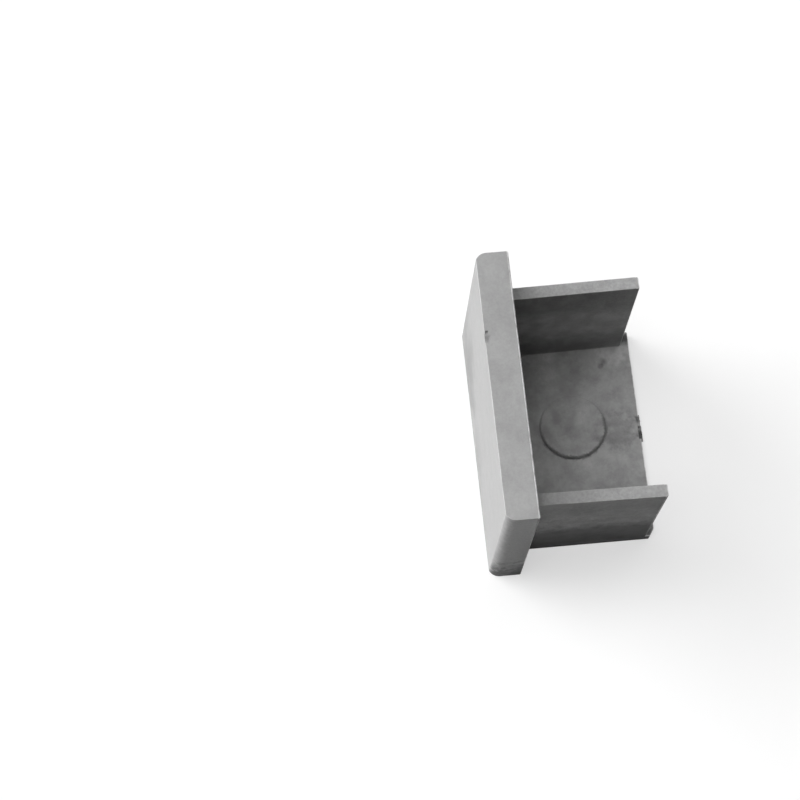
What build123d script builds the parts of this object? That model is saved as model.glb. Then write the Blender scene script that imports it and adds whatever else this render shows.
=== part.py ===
from build123d import *
import os

# End cap for a hollow profile, moulded in one piece, in millimetres.
# X runs along the plug, away from the flange. Y runs along the flange's long side. Z is up.
# The origin is the centre of the flange's back face, which seats on the profile's cut end.

# Flange: the plate that covers the profile's end.
flange_width = 30.0
flange_height = 24.0
flange_thickness = 3.6
# Rounding of the two front edges along the flange's short ends.
end_rounding = 1.1
# Small radius that the mould leaves around the seat side of the flange.
seat_edge_radius = 0.15

# Plug: a channel that pushes into the profile, open at the top and at its free end.
plug_width = 24.8
side_wall = 1.4
floor_wall = 1.0
side_wall_reach = 14.5
# The floor runs on past the free ends of the side walls.
floor_overhang = 1.0
# The plug sits low on the flange: its underside is near the flange's lower edge.
below_plug = 1.0
above_side_walls = 4.6

# Round mark of an ejector pin, raised on the floor and off the middle line.
pin_mark_diameter = 7.5
pin_mark_height = 0.2
pin_mark_off_middle = 1.4

# Stub left where the gate was broken off, on the floor's free edge.
gate_width = 3.1
gate_height = 0.7
gate_stub_length = 0.35
gate_off_middle = 0.75
# The stub stays clear of the plug's underside, which slides along the profile's wall.
gate_above_underside = 0.15

# Heights and reaches that follow from the values above.
flange_bottom = -flange_height / 2
plug_bottom = flange_bottom + below_plug
floor_top = plug_bottom + floor_wall
side_wall_top = flange_height / 2 - above_side_walls
floor_reach = side_wall_reach + floor_overhang

with BuildPart() as end_cap:
    # Flange: a plan outline with its two front corners rounded, raised to the flange's height.
    with BuildSketch(Plane.XY.offset(flange_bottom)) as flange_plan:
        Rectangle(flange_thickness, flange_width, align=(Align.MAX, Align.CENTER))
        fillet(flange_plan.vertices().group_by(Axis.X)[0], end_rounding)
    extrude(amount=flange_height)
    seat_face = end_cap.faces().sort_by(Axis.X)[-1]
    fillet(seat_face.edges(), seat_edge_radius)

    # Side walls and floor: the channel's section, drawn on the seat face and pushed out along X.
    with BuildSketch(Plane.YZ) as channel_section:
        with Locations((0, plug_bottom)):
            Rectangle(plug_width, side_wall_top - plug_bottom, align=(Align.CENTER, Align.MIN))
        with Locations((0, floor_top)):
            Rectangle(
                plug_width - 2 * side_wall,
                side_wall_top - floor_top,
                align=(Align.CENTER, Align.MIN),
                mode=Mode.SUBTRACT,
            )
    extrude(amount=side_wall_reach)

    # The floor alone runs on past the side walls.
    with BuildSketch(Plane.YZ.offset(side_wall_reach)) as floor_section:
        with Locations((0, plug_bottom)):
            Rectangle(plug_width, floor_wall, align=(Align.CENTER, Align.MIN))
    extrude(amount=floor_overhang)

    # Ejector pin mark, halfway along the floor.
    with BuildSketch(Plane.XY.offset(floor_top)) as pin_mark:
        with Locations((floor_reach / 2, pin_mark_off_middle)):
            Circle(pin_mark_diameter / 2)
    extrude(amount=pin_mark_height)

    # Gate stub, on the floor's free end.
    with BuildSketch(Plane.YZ.offset(floor_reach)) as gate_stub:
        with Locations((gate_off_middle, plug_bottom + gate_above_underside)):
            Rectangle(gate_width, gate_height, align=(Align.CENTER, Align.MIN))
    extrude(amount=gate_stub_length)

os.makedirs("parts", exist_ok=True)
end_cap.part.label = "end_cap"
export_step(end_cap.part, "parts/end_cap.step")
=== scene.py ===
# %% [markdown]
# A small grey end cap, moulded in one piece, closes the cut end of a hollow profile. This lesson
# builds its looks: the plate, the channel-shaped plug behind it, the marks that the mould left,
# and the matt plastic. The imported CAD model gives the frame, and Blender adds the fine edges and
# the finish. Blender counts in metres, so the values below are given in mm and scaled.

import math

import bmesh
import bpy
from mathutils import Matrix, Vector, noise


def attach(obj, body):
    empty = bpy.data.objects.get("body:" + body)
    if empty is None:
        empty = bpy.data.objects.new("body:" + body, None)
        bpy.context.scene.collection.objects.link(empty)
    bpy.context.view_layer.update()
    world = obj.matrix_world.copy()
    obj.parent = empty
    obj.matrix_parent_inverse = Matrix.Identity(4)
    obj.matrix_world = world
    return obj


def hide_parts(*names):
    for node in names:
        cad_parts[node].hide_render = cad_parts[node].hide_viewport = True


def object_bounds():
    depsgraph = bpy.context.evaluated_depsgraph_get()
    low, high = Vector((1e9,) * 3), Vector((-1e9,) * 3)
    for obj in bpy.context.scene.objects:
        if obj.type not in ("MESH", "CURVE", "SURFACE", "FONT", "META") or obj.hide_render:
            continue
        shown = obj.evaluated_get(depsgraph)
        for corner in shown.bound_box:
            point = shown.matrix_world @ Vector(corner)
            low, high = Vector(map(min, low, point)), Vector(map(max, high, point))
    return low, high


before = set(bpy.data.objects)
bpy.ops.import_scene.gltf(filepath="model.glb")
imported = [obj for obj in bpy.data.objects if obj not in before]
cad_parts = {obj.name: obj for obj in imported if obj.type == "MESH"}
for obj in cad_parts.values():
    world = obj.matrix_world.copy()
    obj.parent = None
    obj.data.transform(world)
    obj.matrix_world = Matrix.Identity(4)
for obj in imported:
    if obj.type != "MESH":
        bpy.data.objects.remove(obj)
cad_low, cad_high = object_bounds()
mm = 0.001
print("CAD box in mm:", [round(v / mm, 2) for v in (*cad_low, *cad_high)])

# %% [markdown]
# The camera looks steeply down on the cap. A camera can be placed by hand and turned until it
# fits, but an aim point, a distance and three angles are easier to read and to correct.
# The lens is long for such a near view, so the two walls of the plug stay almost parallel.

# %% Camera
aim_point = Vector((-12.469, 3.076, 0.0)) * mm
view_distance = 250.294 * mm
view_azimuth = math.radians(-11.677)
view_elevation = math.radians(71.481)
view_roll = math.radians(6.357)
lens_length = 101.598
sensor_width = 36.0
nearest_seen = 0.01
farthest_seen = 10.0

toward_camera = Vector((
    math.sin(view_azimuth) * math.cos(view_elevation),
    -math.cos(view_azimuth) * math.cos(view_elevation),
    math.sin(view_elevation),
))
camera_data = bpy.data.cameras.new("photo_camera")
camera_data.lens = lens_length
camera_data.sensor_width = sensor_width
camera_data.clip_start = nearest_seen
camera_data.clip_end = farthest_seen
camera = bpy.data.objects.new("photo_camera", camera_data)
bpy.context.scene.collection.objects.link(camera)
camera.location = aim_point + toward_camera * view_distance
looking = (-toward_camera).to_track_quat("-Z", "Y")
camera.rotation_mode = "QUATERNION"
camera.rotation_quaternion = looking @ Matrix.Rotation(view_roll, 3, "Z").to_quaternion()
bpy.context.scene.camera = camera
print("camera in mm:", [round(v / mm, 1) for v in camera.location])

# %% [markdown]
# The outer sizes come from the CAD box, and the walls inside it are the maker's own sizes.
# X runs along the plug, Y along the plate's long side, and Z is up. The seat face, where the
# plate meets the profile, lies at X = 0.

# %% Sizes
plate_front = cad_low.x
plate_half = cad_high.y
plate_bottom = cad_low.z
plate_top = cad_high.z
plug_half = 12.4 * mm
wall = 1.4 * mm
inner_half = plug_half - wall
wall_reach = 14.5 * mm
floor_reach = 15.5 * mm
below_plug = 1.0 * mm
floor_wall = 1.0 * mm
above_walls = 4.6 * mm
plug_bottom = plate_bottom + below_plug
floor_top = plug_bottom + floor_wall
wall_top = plate_top - above_walls
print("plate in mm:", round(-plate_front / mm, 2), "by", round(2 * plate_half / mm, 2))

# %% [markdown]
# A prism is the simplest honest body: one outline at each end and flat sides between them.
# The two ends may differ, which a plain extrusion can't do, so that a wall can lean a little.
# Bodies are joined and cut with booleans, and each result is kept as a plain mesh.

# %% Helpers for bodies


def new_piece(name, builder):
    """Turns a finished bmesh into an object in the scene."""
    mesh = bpy.data.meshes.new(name)
    builder.to_mesh(mesh)
    builder.free()
    piece = bpy.data.objects.new(name, mesh)
    bpy.context.scene.collection.objects.link(piece)
    return piece


def prism(first, second):
    """A closed body between two outlines with the same number of points."""
    builder = bmesh.new()
    near = [builder.verts.new(p) for p in first]
    far = [builder.verts.new(p) for p in second]
    builder.faces.new(near)
    builder.faces.new(far)
    for i in range(len(near)):
        j = (i + 1) % len(near)
        builder.faces.new((near[i], near[j], far[j], far[i]))
    bmesh.ops.recalc_face_normals(builder, faces=builder.faces)
    return builder


def upright_prism(plan, low, high):
    """A prism that stands on a plan of x and y points, from height low to height high."""
    return prism(
        [Vector((x, y, low)) for x, y in plan],
        [Vector((x, y, high)) for x, y in plan],
    )


def keep_modified(body):
    """Turns what a body's modifiers show into its own mesh."""
    graph = bpy.context.evaluated_depsgraph_get()
    mesh = bpy.data.meshes.new_from_object(body.evaluated_get(graph))
    body.modifiers.clear()
    body.data = mesh


def combine(body, other, operation):
    """Joins other to body, or cuts it out, and removes other."""
    step = body.modifiers.new(operation.lower(), "BOOLEAN")
    step.operation = operation
    step.solver = "EXACT"
    step.object = other
    keep_modified(body)
    bpy.data.objects.remove(other)


print("helpers for bodies are ready")

# %% [markdown]
# The plate covers the cut end of the profile. Only the two front edges along its short ends are
# round; the long front edges are crisp. The rounding leaves the front at a slight angle, which
# shows as a fine line, and then runs smoothly into the short end. So the plan is drawn with two
# such arcs and raised straight up.

# %% Plate
corner_radius = 1.3 * mm
corner_line_angle = math.radians(25)
arc_steps = 16


def round_corner(side):
    """Plan points from the front to a short end; side is 1 for +Y and -1 for -Y."""
    centre_x = plate_front + corner_radius * math.cos(corner_line_angle)
    centre_y = plate_half - corner_radius
    points = []
    for step in range(arc_steps + 1):
        turn = corner_line_angle + (math.pi / 2 - corner_line_angle) * step / arc_steps
        points.append((
            centre_x - corner_radius * math.cos(turn),
            side * (centre_y + corner_radius * math.sin(turn)),
        ))
    return points


plan = [(0, -plate_half), (0, plate_half)]
plan += reversed(round_corner(1))
plan += round_corner(-1)
end_cap = new_piece("end_cap_moulding", upright_prism(plan, plate_bottom, plate_top))
print("plate faces:", len(end_cap.data.polygons))

# %% [markdown]
# The plug is a channel, open at the top. On the real cap the free ends of its walls stand a hair
# wider than their roots, so that they grip the profile. The section is drawn twice, once inside
# the plate and once at the free end with the wall tops moved out, and a prism joins the two.
# The walls are also a little thicker at their feet than at their tops, most of all at the root,
# which lets the cap slip out of its mould. The floor alone runs on past the walls.

# %% Plug
root_depth = 1.0 * mm
wall_splay = 0.2 * mm
foot_draft = 0.27 * mm
root_draft = 0.55 * mm


def section(x, outline):
    """Points at x from an outline of y and z."""
    return [Vector((x, y, z)) for y, z in outline]


def channel_section(x, splay, draft):
    """The plug's U-shaped section at x: wall tops moved out by splay, feet thicker by draft."""
    return section(x, [
        (-plug_half, plug_bottom), (plug_half, plug_bottom), (plug_half, floor_top),
        (plug_half + splay, wall_top), (inner_half + splay, wall_top),
        (inner_half - draft, floor_top), (draft - inner_half, floor_top),
        (-inner_half - splay, wall_top), (-plug_half - splay, wall_top), (-plug_half, floor_top),
    ])


floor_outline = [
    (-plug_half, plug_bottom), (plug_half, plug_bottom),
    (plug_half, floor_top), (-plug_half, floor_top),
]
channel = new_piece("channel", prism(
    channel_section(-root_depth, 0, root_draft),
    channel_section(wall_reach, wall_splay, foot_draft),
))
floor_lip = new_piece("floor_lip", prism(
    section(wall_reach, floor_outline),
    section(floor_reach, floor_outline),
))
combine(end_cap, channel, "UNION")
combine(end_cap, floor_lip, "UNION")
print("faces with the plug on:", len(end_cap.data.polygons))

# %% [markdown]
# The floor's near free corner is worn off on the real cap. A three-sided prism cuts it away. Its
# long side passes through the two points where the wear ends, and it stands proud of the floor
# everywhere else, because a cut between faces in one plane can fail.

# %% Worn corner
worn_back = 0.62 * mm
worn_along = 0.95 * mm
spare = 0.2 * mm
worn_plan = [
    (floor_reach - worn_back - spare * worn_back / worn_along, -plug_half - spare),
    (floor_reach + spare, -plug_half - spare),
    (floor_reach + spare, -plug_half + worn_along + spare * worn_along / worn_back),
]
worn_corner = new_piece(
    "worn_corner", upright_prism(worn_plan, plug_bottom - spare, floor_top + spare)
)
combine(end_cap, worn_corner, "DIFFERENCE")
print("faces with the corner worn off:", len(end_cap.data.polygons))

# %% [markdown]
# No moulded edge is perfectly sharp. A bevel with weights breaks each kind of edge by its own
# amount: most for the walls' outer ends and for the rim around the seat face, which catches a
# thin line of light, and very little for the crisp front. The rule below tells the kinds apart
# by where an edge lies.

# %% How much each edge is broken
wall_end_weight = 1.0
rim_weight = 0.55
plug_weight = 0.3
front_weight = 0.2
flat_angle = math.radians(22)
tiny = 0.01 * mm


def break_weight(edge):
    """How much of the widest break this edge gets, from where it lies."""
    if edge.calc_face_angle(0) < flat_angle:
        return 0.0
    a, b = (v.co for v in edge.verts)
    middle = (a + b) / 2
    if max(a.x, b.x) < tiny and min(a.x, b.x) > -tiny:
        beside_plug = abs(middle.y) > plug_half + tiny
        level_with_plug = plug_bottom - tiny < middle.z < wall_top + tiny
        return rim_weight if beside_plug or not level_with_plug else 0.0
    if middle.x < 0:
        return front_weight
    stands_up = abs(a.z - b.z) > edge.calc_length() / 2
    if stands_up and abs(middle.x - wall_reach) < tiny and abs(middle.y) > plug_half:
        return wall_end_weight
    return plug_weight if edge.is_convex else 0.0


print("weights run from", front_weight, "to", wall_end_weight)

# %% [markdown]
# Leftover points and flat splits from the booleans are cleared first, because a bevel breaks up
# at them. The bevel comes before the small marks, so that they cut through it and don't hold it
# back. Its faces get a material number of their own, by which they are found again later.

# %% Edge breaks
widest_break = 0.3 * mm
break_segments = 3
same_point = 0.002 * mm
same_plane = math.radians(0.2)
edge_number = 1

builder = bmesh.new()
builder.from_mesh(end_cap.data)
bmesh.ops.remove_doubles(builder, verts=builder.verts, dist=same_point)
bmesh.ops.dissolve_limit(
    builder, angle_limit=same_plane, verts=builder.verts, edges=builder.edges,
    use_dissolve_boundaries=False,
)
weights = builder.edges.layers.float.new("bevel_weight_edge")
for edge in builder.edges:
    edge[weights] = break_weight(edge)
broken = sum(1 for edge in builder.edges if edge[weights] > 0)
builder.to_mesh(end_cap.data)
builder.free()
end_cap.data.materials.append(bpy.data.materials.new("plastic_face"))
end_cap.data.materials.append(bpy.data.materials.new("plastic_edge"))
bevel = end_cap.modifiers.new("edge_breaks", "BEVEL")
bevel.limit_method = "WEIGHT"
bevel.width = widest_break
bevel.segments = break_segments
bevel.material = edge_number
bevel.use_clamp_overlap = False
keep_modified(end_cap)
print("edges broken:", broken, "faces:", len(end_cap.data.polygons))

# %% [markdown]
# An ejector pin pushed the warm cap out of its mould and left a round mark on the floor. It
# stands up by about a fifth of a millimetre and leans a little, so that its far side all but
# sinks into the floor. A stack of rings gives it a sloping side and a soft rim, where a plain
# disc would look stamped out and would catch no shade around its foot.

# %% Pin mark
pin_radius = 3.75 * mm
pin_height = 0.18 * mm
pin_off_middle = 1.4 * mm
pin_centre = Vector((floor_reach / 2, pin_off_middle, floor_top))
pin_steps = 96
pin_lean = 0.043
pin_depth = 0.3 * mm
pin_foot = 0.01 * mm
side_rise = 0.7
rim_slope = 0.14 * mm
rim_rise = 0.93
# Each ring is a radius and a height above the floor. The lowest is sunk into the floor.
pin_rings = [
    (pin_radius + rim_slope, -pin_depth),
    (pin_radius + rim_slope, pin_foot),
    (pin_radius, pin_height * side_rise),
    (pin_radius - rim_slope / 2, pin_height * rim_rise),
    (pin_radius - rim_slope, pin_height),
]


def stack_rings(centre, rings, steps, lean):
    """A closed round body from rings of given radius and height; lean lowers its +Y side."""
    builder = bmesh.new()
    loops = []
    for radius, height in rings:
        turns = [2 * math.pi * i / steps for i in range(steps)]
        loops.append([
            builder.verts.new(centre + Vector((
                radius * math.cos(a),
                radius * math.sin(a),
                height - lean * radius * math.sin(a) if height > 0 else height,
            )))
            for a in turns
        ])
    builder.faces.new(loops[0])
    builder.faces.new(loops[-1])
    for low, high in zip(loops, loops[1:]):
        for i in range(steps):
            j = (i + 1) % steps
            builder.faces.new((low[i], low[j], high[j], high[i]))
    bmesh.ops.recalc_face_normals(builder, faces=builder.faces)
    return builder


pin_mark = new_piece("pin_mark", stack_rings(pin_centre, pin_rings, pin_steps, pin_lean))
combine(end_cap, pin_mark, "UNION")
print("pin mark across in mm:", round(2 * pin_radius / mm, 2))

# %% [markdown]
# A broken surface is easiest to make from a plain block that is divided finely and then pushed
# about by noise. Joined to the cap, such a block is a torn stub, and cut out of it, it is a chip
# or a nick. The noise gets a fixed seed, because it would otherwise be seeded by the clock and
# differ in every run.

# %% Rough blocks
noise_seed = 3
block_cuts = 5
break_size = 0.35 * mm
noise.seed_set(noise_seed)


def rough_block(name, origin, low, high, roughness):
    """A block with a broken surface; low and high are its corners in mm, counted from origin."""
    low, high = (origin + Vector(corner) * mm for corner in (low, high))
    plan = [(low.x, low.y), (high.x, low.y), (high.x, high.y), (low.x, high.y)]
    builder = upright_prism(plan, low.z, high.z)
    bmesh.ops.subdivide_edges(builder, edges=builder.edges, cuts=block_cuts, use_grid_fill=True)
    for vert in builder.verts:
        vert.co += noise.noise_vector(vert.co / break_size) * roughness
    bmesh.ops.recalc_face_normals(builder, faces=builder.faces)
    return new_piece(name, builder)


print("cuts along each side of a rough block:", block_cuts)

# %% [markdown]
# Plastic was fed in at the middle of the floor's free edge, and breaking off that feed left a
# rough stub in two steps, with a chip above the first and a groove along the second.

# %% Gate stub
break_roughness = 0.05 * mm
# Each mark is its name, low corner and high corner in mm, counted from the middle of the floor's
# free top edge, and whether it is joined or cut out.
edge_marks = [
    ("chip", (-0.25, -0.75, -0.5), (0.5, 0.8, 0.3), "DIFFERENCE"),
    ("broken_stub", (-0.45, -0.88, -0.85), (0.22, 0.94, -0.35), "UNION"),
    ("torn_stub", (-0.4, 0.72, -0.85), (0.12, 2.2, -0.2), "UNION"),
    ("torn_groove", (-0.34, 1.0, -0.17), (-0.09, 1.95, 0.3), "DIFFERENCE"),
]
edge_middle = Vector((floor_reach, 0, floor_top))
for name, low, high, operation in edge_marks:
    combine(end_cap, rough_block(name, edge_middle, low, high, break_roughness), operation)
print("marks on the free edge:", len(edge_marks))

# %% [markdown]
# One tiny nick breaks the long front edge of the plate: a pit a quarter of a millimetre deep just
# behind the edge, and a shallow scrape that runs from it along the edge. It tells the eye how
# crisp the rest of that edge is.

# %% Nick
nick_roughness = 0.045 * mm
nick_along = 5.9 * mm
nick_corner = Vector((plate_front, nick_along, plate_top))
# Each mark is its name, low corner and high corner in mm, counted from the nick's corner.
nick_marks = [
    ("nick_pit", (0.08, -0.17, -0.24), (0.4, 0.17, 0.3)),
    ("nick_scrape", (-0.2, -1.15, -0.15), (0.16, -0.12, 0.3)),
]
for name, low, high in nick_marks:
    combine(end_cap, rough_block(name, nick_corner, low, high, nick_roughness), "DIFFERENCE")
print("faces with the marks:", len(end_cap.data.polygons))

# %% [markdown]
# Shading comes next. All faces are smooth, edges sharper than a set angle stay hard, and weighted
# normals lean on the large faces, so that a flat wall stays flat right up to its bevel.

# %% Shading
hard_angle = math.radians(32)
marks_same_point = 0.0005 * mm
builder = bmesh.new()
builder.from_mesh(end_cap.data)
bmesh.ops.remove_doubles(builder, verts=builder.verts, dist=marks_same_point)
for face in builder.faces:
    face.smooth = True
for edge in builder.edges:
    edge.smooth = edge.calc_face_angle(0) < hard_angle
builder.to_mesh(end_cap.data)
builder.free()
flat_faces = end_cap.modifiers.new("flat_faces", "WEIGHTED_NORMAL")
flat_faces.keep_sharp = True
keep_modified(end_cap)
print("hard edges:", sum(1 for edge in end_cap.data.edges if edge.use_edge_sharp))

# %% [markdown]
# The bevel's faces are found again by their material number. It is turned into an attribute that
# the finish can read, and then the mesh is left with a single material. The finished mesh takes
# the place of the CAD body and rides on the cap's one rigid body.

# %% The edges set apart
finished = end_cap.data
on_edge = [float(face.material_index == edge_number) for face in finished.polygons]
finished.attributes.new("edge_rub_and_highlight", "FLOAT", "FACE").data.foreach_set("value", on_edge)
finished.polygons.foreach_set("material_index", [0] * len(finished.polygons))
finished.materials.clear()
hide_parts("end_cap")
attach(end_cap, "root")
print("finished faces:", len(finished.polygons), "of them on edges:", int(sum(on_edge)))

# %% [markdown]
# The plastic is a matt grey, so its finish is all in small differences of tone and shine. Each
# layer is a number that multiplies the grey, and a chain of small nodes keeps them in order.
# The helpers below only join nodes, so the finish itself reads like a recipe.

# %% Helpers that join nodes
plastic = bpy.data.materials.new("grey_plastic")
plastic.use_nodes = True
tree = plastic.node_tree
surface = tree.nodes["Principled BSDF"]
place = tree.nodes.new("ShaderNodeTexCoord").outputs["Object"]


def feed(socket, value):
    """Links another node's output to a socket, or sets the socket to a plain value."""
    if isinstance(value, bpy.types.NodeSocket):
        tree.links.new(value, socket)
    else:
        socket.default_value = value


def maths(operation, *values):
    """One sum, on plain numbers or on the outputs of other nodes."""
    node = tree.nodes.new("ShaderNodeMath")
    node.operation = operation
    for socket, value in zip(node.inputs, values):
        feed(socket, value)
    return node.outputs[0]


def times(first, second):
    """The product of two layers or numbers."""
    return maths("MULTIPLY", first, second)


def changed(tone, part):
    """The tone made lighter by a part of itself, or darker where the part is negative."""
    return times(tone, maths("ADD", 1.0, part))


def masked(tone, mask, factor):
    """The tone times factor where the mask is 1, and as it was where the mask is 0."""
    return changed(tone, times(mask, maths("SUBTRACT", factor, 1.0)))


print("finish starts with", len(tree.nodes), "nodes")

# %% [markdown]
# Noise gives the unevenness, and masks say where a layer lies. A mask is a smooth step over a
# height or a distance, measured on the cap itself, so it stays put from every side.

# %% Helpers for noise and masks


def grain(size, detail, rough=0.5, stretch=(1, 1, 1)):
    """Soft noise from 0 to 1 with spots about size across; more stretch makes them shorter."""
    scale = tree.nodes.new("ShaderNodeVectorMath")
    scale.operation = "MULTIPLY"
    feed(scale.inputs[0], place)
    scale.inputs[1].default_value = [s / size for s in stretch]
    node = tree.nodes.new("ShaderNodeTexNoise")
    node.inputs["Scale"].default_value = 1.0
    node.inputs["Detail"].default_value = detail
    node.inputs["Roughness"].default_value = rough
    feed(node.inputs["Vector"], scale.outputs[0])
    return node.outputs[0]


def blend_range(value, low, high, to_low, to_high):
    """Maps value smoothly from low..high to to_low..to_high, and holds the ends."""
    node = tree.nodes.new("ShaderNodeMapRange")
    node.interpolation_type = "SMOOTHSTEP"
    for socket, number in zip(node.inputs, (value, low, high, to_low, to_high)):
        feed(socket, number)
    return node.outputs[0]


def spread(layer, to_low, to_high, half=0.2):
    """Maps a noise layer to to_low..to_high; half is how far it swings from its middle, 0.5."""
    return blend_range(layer, 0.5 - half, 0.5 + half, to_low, to_high)


def fade_in(value, low, high):
    """A mask that is 0 below low, 1 above high, and smooth between them."""
    return blend_range(value, low, high, 0.0, 1.0)


def fade_out(value, low, high):
    """The opposite mask: 1 below low and 0 above high."""
    return blend_range(value, low, high, 1.0, 0.0)


print("helpers for the finish are ready")

# %% [markdown]
# Four layers of noise make the plastic look moulded: a fine grain from the mould's surface, small
# patches and soft clouds where the melt cooled unevenly, and long faint streaks along the way it
# flowed. Each is kept to a few parts in a hundred, because on a matt grey even that can be seen.

# %% Grain, patches, clouds and streaks
grain_size = 0.22 * mm
cloud_size = 3.2 * mm
patch_size = 1.1 * mm
streak_size = 2.5 * mm
streak_stretch = (4, 0.5, 1)
grain_strength = 0.045
fine = grain(grain_size, detail=2)
clouds = grain(cloud_size, detail=3, rough=0.55)
patches = grain(patch_size, detail=3, rough=0.6)
streaks = grain(streak_size, detail=2, stretch=streak_stretch)
tone = spread(fine, 1 - grain_strength, 1 + grain_strength, half=0.25)
for layer, strength in ((clouds, 0.07), (patches, 0.03), (streaks, 0.02)):
    tone = times(tone, spread(layer, 1 - strength, 1 + strength))
print("grain and clouds in mm:", round(grain_size / mm, 2), round(cloud_size / mm, 2))

# %% [markdown]
# The melt came in at the channel's floor, which is cloudier than the rest. The floor is found by
# its height and by how far a point lies from the cap's middle. The mask ends just above the pin
# mark, which belongs to the floor.

# %% Cloudier channel floor
floor_cloud_size = 2.1 * mm
darker_cloud, paler_cloud = -0.15, 0.13
parts = tree.nodes.new("ShaderNodeSeparateXYZ")
feed(parts.inputs[0], place)
along, across, height = parts.outputs
near_floor = fade_out(height, floor_top + 0.35 * mm, floor_top + 0.6 * mm)
off_middle = maths("ABSOLUTE", across)
between_walls = fade_out(off_middle, inner_half - root_draft, inner_half)
in_channel = times(near_floor, between_walls)
floor_clouds = grain(floor_cloud_size, detail=4, rough=0.62)
cloud_part = spread(floor_clouds, darker_cloud, paler_cloud, half=0.18)
tone = changed(tone, times(in_channel, cloud_part))
print("clouds on the channel floor in mm:", round(floor_cloud_size / mm, 2))

# %% [markdown]
# The plate's short ends and the plug's walls were drawn past the mould's surface on the way out,
# which leaves their grain a little coarser than the grain of the top.

# %% Coarser short ends and walls
coarse_size = 0.3 * mm
speckle = 0.1
past_front = fade_in(along, plate_front + 0.02 * mm, plate_front + 0.3 * mm)
past_plate = fade_in(along, 0.0, 0.02 * mm)
on_short_end = times(
    past_front, fade_in(off_middle, plate_half - corner_radius, plate_half - 0.9 * mm)
)
on_plug_wall = times(
    past_plate, fade_in(off_middle, inner_half - 0.3 * mm, inner_half + 0.2 * mm)
)
below_plate_top = fade_out(height, plate_top - 0.4 * mm, plate_top - 0.1 * mm)
toward_ends = times(maths("MAXIMUM", on_short_end, on_plug_wall), below_plate_top)
coarse = grain(coarse_size, detail=2, rough=0.6)
tone = changed(tone, times(toward_ends, spread(coarse, -speckle, speckle)))
print("coarse grain in mm:", round(coarse_size / mm, 2))

# %% [markdown]
# The two roundings beside the front face get a painted highlight: a speckled band a shade paler,
# the near one more than the far one. The mask covers the rounding and leaves out the front and
# top.

# %% Painted highlight on the roundings
palest_highlight = 0.38
faintest_highlight = 0.15
far_highlight_share = 0.4
middle_strip = 1.0 * mm
on_rounding = times(
    fade_in(off_middle, plate_half - 1.35 * mm, plate_half - 1.2 * mm),
    fade_out(along, plate_front + 0.6 * mm, plate_front + corner_radius),
)
off_front_and_top = times(
    fade_in(along, plate_front + 0.01 * mm, plate_front + 0.05 * mm),
    fade_out(height, plate_top - 0.15 * mm, plate_top - 0.03 * mm),
)
# Painted highlight: the rounding's band is made paler, unevenly, by the patches' noise.
paler = times(
    times(on_rounding, off_front_and_top), spread(patches, faintest_highlight, palest_highlight, half=0.3)
)
paler = times(paler, blend_range(across, -middle_strip, middle_strip, 1.0, far_highlight_share))
tone = changed(tone, paler)
print("near rounding paler by up to:", palest_highlight)

# %% [markdown]
# The plug's walls get painted shade that darkens them towards the floor. Outside, that is a soft
# step below the middle, stronger on the near wall than on the far one. Inside, the walls get
# painted light halfway up and painted shade at the top and at the foot. Smooth steps over the
# height paint both, and noise bends the steps so that they don't look ruled.

# %% Painted shade and light on the walls
near_foot_shade, far_foot_shade = 0.18, 0.68
outer_step = (-4.6 * mm, -1.4 * mm)
inner_foot_shade, inner_middle_light, inner_top_shade = 0.6, 1.36, 0.52
inner_low_step = (-8.5 * mm, -3.0 * mm)
inner_high_step = (0.0, 5.0 * mm)
bend = 0.5 * mm
bent_height = maths("ADD", height, spread(patches, -bend, bend, half=0.3))
on_outside = fade_in(off_middle, plug_half - 0.1 * mm, plug_half - 0.05 * mm)
outer_foot_shade = blend_range(across, -middle_strip, middle_strip, near_foot_shade, far_foot_shade)
# Painted shade on the outside of the walls, darkest at the near wall's foot.
outer_painted_shade = blend_range(bent_height, *outer_step, outer_foot_shade, 1.0)
on_inside = times(
    fade_in(height, floor_top + 0.1 * mm, floor_top + 0.4 * mm),
    fade_in(off_middle, inner_half - 0.6 * mm, inner_half - 0.5 * mm),
)
# Painted light halfway up the inside of the walls, and painted shade at their foot and top.
inner_painted_light_and_shade = times(
    blend_range(bent_height, *inner_low_step, inner_foot_shade, inner_middle_light),
    blend_range(bent_height, *inner_high_step, 1.0, inner_top_shade),
)
print("near wall's foot outside:", near_foot_shade, "of its tone, the far wall's:", far_foot_shade)

# %% [markdown]
# The painted bands of light and shade belong to the walls' faces alone, so their masks stop at
# the plate and at the walls' tops. Soft clouds, from the same noise as the floor's, go over the
# walls too.

# %% Painted bands and clouds onto the walls
wall_cloud = 0.16
below_top = fade_out(height, wall_top - 0.03 * mm, wall_top - 0.005 * mm)
on_faces = times(past_plate, below_top)
tone = masked(tone, times(on_outside, on_faces), outer_painted_shade)
tone = masked(tone, times(on_inside, on_faces), inner_painted_light_and_shade)
wall_clouds = spread(floor_clouds, 1 - wall_cloud, 1 + wall_cloud)
on_walls = times(maths("MAXIMUM", on_outside, on_inside), on_faces)
tone = masked(tone, on_walls, wall_clouds)
print("nodes after the walls:", len(tree.nodes))
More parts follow.
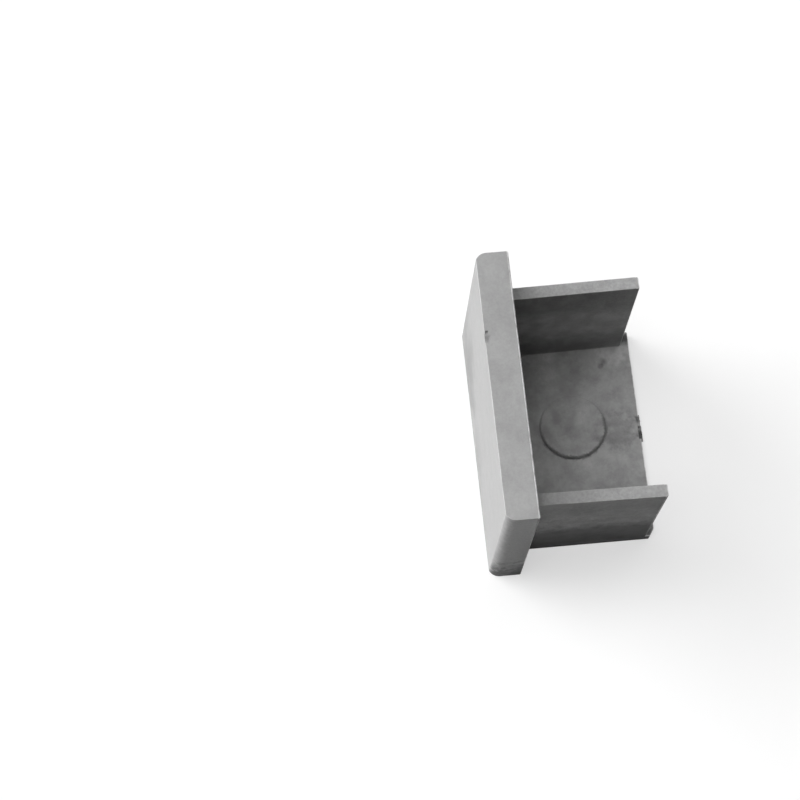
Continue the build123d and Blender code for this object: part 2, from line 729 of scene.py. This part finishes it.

# %% [markdown]
# No even noise would give these soft stains, patches and painted shade. Each is a ball at a listed
# place: what lies inside it turns a little darker or lighter, and noise frays its edge.

# %% Places of the stains, patches and painted shade
# Each stain, patch or ball of painted shade is x, y, z and radius in mm, and the tone at its
# heart.
# Two darker patches, low on the front.
front_dark_patches = [
    (-3.6, 9.0, -8.0, 8.0, 0.70),
    (-3.6, -1.0, -10.5, 6.0, 0.86),
]
small_stains_and_shade = [
    (8.7, 2.1, -9.8, 1.1, 1.24),
    (7.4, 0.6, -9.8, 1.3, 0.8),
    (6.2, 2.6, -9.8, 1.2, 0.86),
    (9.6, 3.2, -9.8, 1.0, 1.12),
    (9.4, -0.4, -9.8, 1.4, 0.88),
    (13.0, 0.4, -10.0, 3.1, 0.72),
    (1.8, 0.4, -10.0, 2.4, 1.24),
    (13.8, 10.2, -10.0, 2.6, 1.52),
    (12.3, 9.0, -10.0, 0.6, 0.58),
    (11.9, 8.5, -10.0, 0.45, 0.6),
    (6.2, 10.2, -10.0, 1.0, 1.25),
    (9.0, 10.4, -10.0, 1.6, 1.16),
    (3.4, 8.4, -10.0, 1.5, 0.88),
    (2.0, 10.0, -10.0, 2.4, 1.35),
    (5.6, 9.4, -10.0, 3.4, 1.22),
    (-3.45, 5.3, 12.0, 0.5, 0.62),
    (-3.45, 4.95, 12.0, 0.4, 0.7),
    (8.75, 7.3, -10.0, 1.8, 0.84),
    (4.5, -3.6, -10.0, 1.8, 1.12),
    (9.1, -4.0, -10.0, 2.2, 1.12),
    (12.5, -4.9, -10.0, 2.0, 0.88),
    # The next four are painted shade: on the floor's free end beside the walls' ends and on the
    # gate stub, which the walls and the stub keep from the light.
    (15.1, 11.8, -10.0, 1.4, 0.18),
    (15.1, -11.7, -10.0, 1.2, 0.5),
    (15.7, 0.1, -10.4, 1.1, 0.12),
    (15.6, 1.6, -10.3, 0.7, 0.45),
    (14.6, 0.3, -9.9, 0.5, 1.3),
]
# The first two are painted shade, darker towards the bottom edge of the near short end; the other
# two are smaller darker patches higher up.
near_end_shade_and_patches = [
    (-0.7, -15.0, -11.6, 6.6, 0.16),
    (-2.6, -14.8, -11.4, 3.6, 0.42),
    (-1.3, -15.0, -8.4, 1.5, 0.72),
    (-2.2, -15.0, -6.2, 1.0, 0.84),
]
print("stains:", len(front_dark_patches), len(small_stains_and_shade), len(near_end_shade_and_patches))

# %% [markdown]
# A ball is strongest at its heart and fades with the distance from it. The two large ones on the
# front fray in wide waves and the others in small ones. The painted shade and patches on the near
# short end stay within a millimetre of it, so that they don't spill onto the front.

# %% Soft stains, patches and painted shade
heart_end, ball_end = 0.2, 1.05
small_fray = spread(patches, -0.35, 0.35, half=0.3)
wide_fray = spread(clouds, -0.3, 0.3, half=0.25)
near_end = fade_out(across, 0.2 * mm - plate_half, 0.9 * mm - plate_half)


def with_stain_or_shade(tone, stain_or_shade, fray, mask=None):
    """The tone with one stain, patch or ball of painted shade on it, frayed by a noise and kept
    inside a mask if there is one.
    """
    x, y, z, radius, heart = stain_or_shade
    away = tree.nodes.new("ShaderNodeVectorMath")
    away.operation = "DISTANCE"
    feed(away.inputs[0], place)
    away.inputs[1].default_value = (x * mm, y * mm, z * mm)
    reach = maths("ADD", maths("DIVIDE", away.outputs["Value"], radius * mm), fray)
    part = blend_range(reach, heart_end, ball_end, heart - 1.0, 0.0)
    if mask:
        part = times(part, mask)
    return changed(tone, part)


for stain_or_shade in front_dark_patches:
    tone = with_stain_or_shade(tone, stain_or_shade, wide_fray)
for stain_or_shade in small_stains_and_shade:
    tone = with_stain_or_shade(tone, stain_or_shade, small_fray)
for stain_or_shade in near_end_shade_and_patches:
    tone = with_stain_or_shade(tone, stain_or_shade, small_fray, near_end)
print("nodes after the stains:", len(tree.nodes))

# %% [markdown]
# A line of painted shade lies at the foot of the pin mark, strongest on the side facing the near
# wall.
# The line follows the circle's radius, and its strength turns with the direction from the centre.
# It is kept to the floor's top, because the circle would otherwise show on the underside too.

# %% Painted shade around the pin mark
most_shaded_side = (0.2, -0.97)
shade_begins, shade_full = -0.8, 0.5
most_shade = 0.55
thin_shade, thick_shade = 0.45, 1.2
from_pin = tree.nodes.new("ShaderNodeVectorMath")
from_pin.operation = "SUBTRACT"
feed(from_pin.inputs[0], place)
from_pin.inputs[1].default_value = (pin_centre.x, pin_centre.y, 0)
pin_parts = tree.nodes.new("ShaderNodeSeparateXYZ")
feed(pin_parts.inputs[0], from_pin.outputs[0])
pin_x, pin_y = pin_parts.outputs[:2]
squares = maths("ADD", maths("POWER", pin_x, 2.0), maths("POWER", pin_y, 2.0))
from_centre = maths("SQRT", squares)
wavy_radius = spread(patches, pin_radius - 0.02 * mm, pin_radius + 0.14 * mm)
off_ring = maths("ABSOLUTE", maths("SUBTRACT", from_centre, wavy_radius))
ragged = spread(fine, -0.06 * mm, 0.06 * mm)
line = fade_out(maths("ADD", off_ring, ragged), 0.07 * mm, 0.34 * mm)
side_x, side_y = (part / pin_radius for part in most_shaded_side)
facing = maths("ADD", times(pin_x, side_x), times(pin_y, side_y))
line_strength = times(
    blend_range(facing, shade_begins, shade_full, 0.0, most_shade),
    spread(floor_clouds, thin_shade, thick_shade, half=0.15),
)
on_floor = times(
    fade_out(height, floor_top + 0.3 * mm, floor_top + 0.5 * mm),
    fade_in(height, floor_top - 0.4 * mm, floor_top - 0.2 * mm),
)
# Painted shade: the ring line darkens the floor at the mark's foot, most on its near side.
ring_shade = times(times(line, line_strength), on_floor)
tone = times(tone, maths("SUBTRACT", 1.0, ring_shade))
print("ring radius in mm:", round(pin_radius / mm, 2))

# %% [markdown]
# Edges are rubbed paler, and unevenly, so the mask that the bevels left is broken by noise. The
# rim around the seat face and the plug's free end also get a painted highlight: fine light lines.

# %% Rubbed edges and painted highlights
plain_rub = 0.3
rim_highlight = 1.6
least_rub_and_highlight = 0.45
rub_and_highlight_mask = tree.nodes.new("ShaderNodeAttribute")
rub_and_highlight_mask.attribute_name = "edge_rub_and_highlight"
rub_and_highlight = times(rub_and_highlight_mask.outputs["Fac"], blend_range(patches, 0.3, 0.6, least_rub_and_highlight, 1.0))
# Painted highlight: the rim around the seat face and the plug's free end are made much paler.
rim_or_lip = maths(
    "MAXIMUM",
    fade_out(maths("ABSOLUTE", along), 0.2 * mm, 0.3 * mm),
    fade_in(along, wall_reach - 0.4 * mm, wall_reach - 0.3 * mm),
)
tone = changed(tone, times(rub_and_highlight, blend_range(rim_or_lip, 0.0, 1.0, plain_rub, rim_highlight)))
print("rim and lip paler by up to:", rim_highlight)

# %% [markdown]
# Last, the tone goes into the grey, the clouds into the shine, and the grain and the patches into
# a bump that is only a few thousandths of a millimetre high. Rubbed edges are a little shinier.

# %% Colour, shine and bump
grey = 0.335
shiniest, dullest = 0.42, 0.54
rubbed_shine = -0.06
bump_strength = 0.5
bump_height = 0.02 * mm
grain_share, patch_share = 0.6, 1.2
colour = tree.nodes.new("ShaderNodeCombineColor")
for colour_part in range(3):
    feed(colour.inputs[colour_part], times(tone, grey))
feed(surface.inputs["Base Color"], colour.outputs[0])
shine = maths("ADD", spread(clouds, shiniest, dullest), times(rub_and_highlight, rubbed_shine))
feed(surface.inputs["Roughness"], shine)
bump = tree.nodes.new("ShaderNodeBump")
bump.inputs["Strength"].default_value = bump_strength
bump.inputs["Distance"].default_value = bump_height
feed(bump.inputs["Height"], maths("ADD", times(fine, grain_share), times(patches, patch_share)))
feed(surface.inputs["Normal"], bump.outputs[0])
finished.materials.append(plastic)
print("finish has", len(tree.nodes), "nodes")

# %% [markdown]
# The floor is a large pale sheet, tilted so that it touches the two edges the cap rests on: the
# plate's lower back edge and the plug's free lower edge.

# %% Floor
floor_size = 2.0
rest_front = Vector((0, 0, plate_bottom))
rest_back = Vector((floor_reach, 0, plug_bottom))
lean = math.atan2(rest_back.z - rest_front.z, rest_back.x - rest_front.x)
corners = [(-1, -1), (1, -1), (1, 1), (-1, 1)]
builder = bmesh.new()
builder.faces.new([builder.verts.new(Vector((x, y, 0)) * floor_size / 2) for x, y in corners])
pale_floor = new_piece("pale_floor", builder)
pale_floor.location = rest_front
pale_floor.rotation_euler = (0, -lean, 0)
pale_floor.visible_diffuse = False
pale_floor.visible_shadow = False
print("lean in degrees:", round(math.degrees(lean), 2))

# %% [markdown]
# To the camera the sheet glows a little, like a light table, which keeps the long shadows of the
# low lamp pale. The plastic mirrors it as a plain sheet, in a tone of its own.

# %% Floor paint
mirrored_tone = 0.8
camera_tone = 0.42
camera_glow = 0.55
sheet_roughness = 0.9
floor_paint = bpy.data.materials.new("floor_paint")
floor_paint.use_nodes = True
floor_nodes = floor_paint.node_tree
floor_surface = floor_nodes.nodes["Principled BSDF"]
floor_surface.inputs["Roughness"].default_value = sheet_roughness
floor_surface.inputs["Emission Color"].default_value = (1, 1, 1, 1)
seen_by = floor_nodes.nodes.new("ShaderNodeLightPath")
to_camera = seen_by.outputs["Is Camera Ray"]
sheet_tone = floor_nodes.nodes.new("ShaderNodeMix")
sheet_tone.data_type = "RGBA"
sheet_tone.inputs["A"].default_value = (mirrored_tone, mirrored_tone, mirrored_tone, 1)
sheet_tone.inputs["B"].default_value = (camera_tone, camera_tone, camera_tone, 1)
floor_nodes.links.new(to_camera, sheet_tone.inputs["Factor"])
floor_nodes.links.new(sheet_tone.outputs["Result"], floor_surface.inputs["Base Color"])
glow = floor_nodes.nodes.new("ShaderNodeMath")
glow.operation = "MULTIPLY"
floor_nodes.links.new(to_camera, glow.inputs[0])
glow.inputs[1].default_value = camera_glow
floor_nodes.links.new(glow.outputs[0], floor_surface.inputs["Emission Strength"])
pale_floor.data.materials.append(floor_paint)
print("floor tone seen by the camera:", camera_tone)

# %% [markdown]
# Seen from below, the sheet is clear, so the cap's underside can be looked at too. The back of a
# face is told from its front, and a transparent shader takes over there.

# %% Clear from below
side = floor_nodes.nodes.new("ShaderNodeNewGeometry")
clear = floor_nodes.nodes.new("ShaderNodeBsdfTransparent")
one_sided = floor_nodes.nodes.new("ShaderNodeMixShader")
floor_nodes.links.new(side.outputs["Backfacing"], one_sided.inputs[0])
floor_nodes.links.new(floor_surface.outputs[0], one_sided.inputs[1])
floor_nodes.links.new(clear.outputs[0], one_sided.inputs[2])
floor_output = floor_nodes.nodes["Material Output"]
floor_nodes.links.new(one_sided.outputs[0], floor_output.inputs["Surface"])
print("floor paint has", len(floor_nodes.nodes), "nodes")

# %% [markdown]
# Five lamps light the cap. The strongest stands low on the left and makes the plate's front the
# brightest face. One overhead lights what faces up, a weak one behind on the right keeps the
# channel's corners open, and a faint one in front lifts the near sides. The last shines up from
# below, through the floor, for anyone who turns the cap over. A wide angle makes a lamp soft.

# %% Lights
softness = math.radians(50)
softness_below = softness / 3
# Each lamp is the direction that it shines from, its strength and its softness.
lamps = {
    "low_left_softbox": ((-1, 0.5, 0.3), 4.6, softness),
    "upper_left_softbox": ((-0.35, 0.05, 1), 1.75, softness),
    "back_right_softbox": ((0.7, 0.8, 0.9), 0.5, softness),
    "front_fill": ((0.1, -1, 0.4), 0.17, softness),
    "lamp_below": ((0, 0.1, -1), 0.9, softness_below),
}
for name, (direction, strength, angle) in lamps.items():
    lamp_data = bpy.data.lights.new(name, "SUN")
    lamp_data.angle = angle
    lamp_data.energy = strength
    lamp = bpy.data.objects.new(name, lamp_data)
    bpy.context.scene.collection.objects.link(lamp)
    lamp.rotation_mode = "QUATERNION"
    lamp.rotation_quaternion = Vector(direction).to_track_quat("Z", "Y")
print("lamps:", ", ".join(lamps))

# %% [markdown]
# The world beyond is white to the camera alone and lights nothing. The plain colour transform
# keeps the greys as they are, and denoising clears the last speckle from the render.

# %% Backdrop
studio = bpy.data.worlds.new("studio")
bpy.context.scene.world = studio
studio.use_nodes = True
backdrop = studio.node_tree.nodes["Background"]
backdrop.inputs["Color"].default_value = (1, 1, 1, 1)
seen_from = studio.node_tree.nodes.new("ShaderNodeLightPath")
studio.node_tree.links.new(seen_from.outputs["Is Camera Ray"], backdrop.inputs["Strength"])
bpy.context.scene.view_settings.view_transform = "Standard"
bpy.context.scene.cycles.use_denoising = True
print("view transform:", bpy.context.scene.view_settings.view_transform)
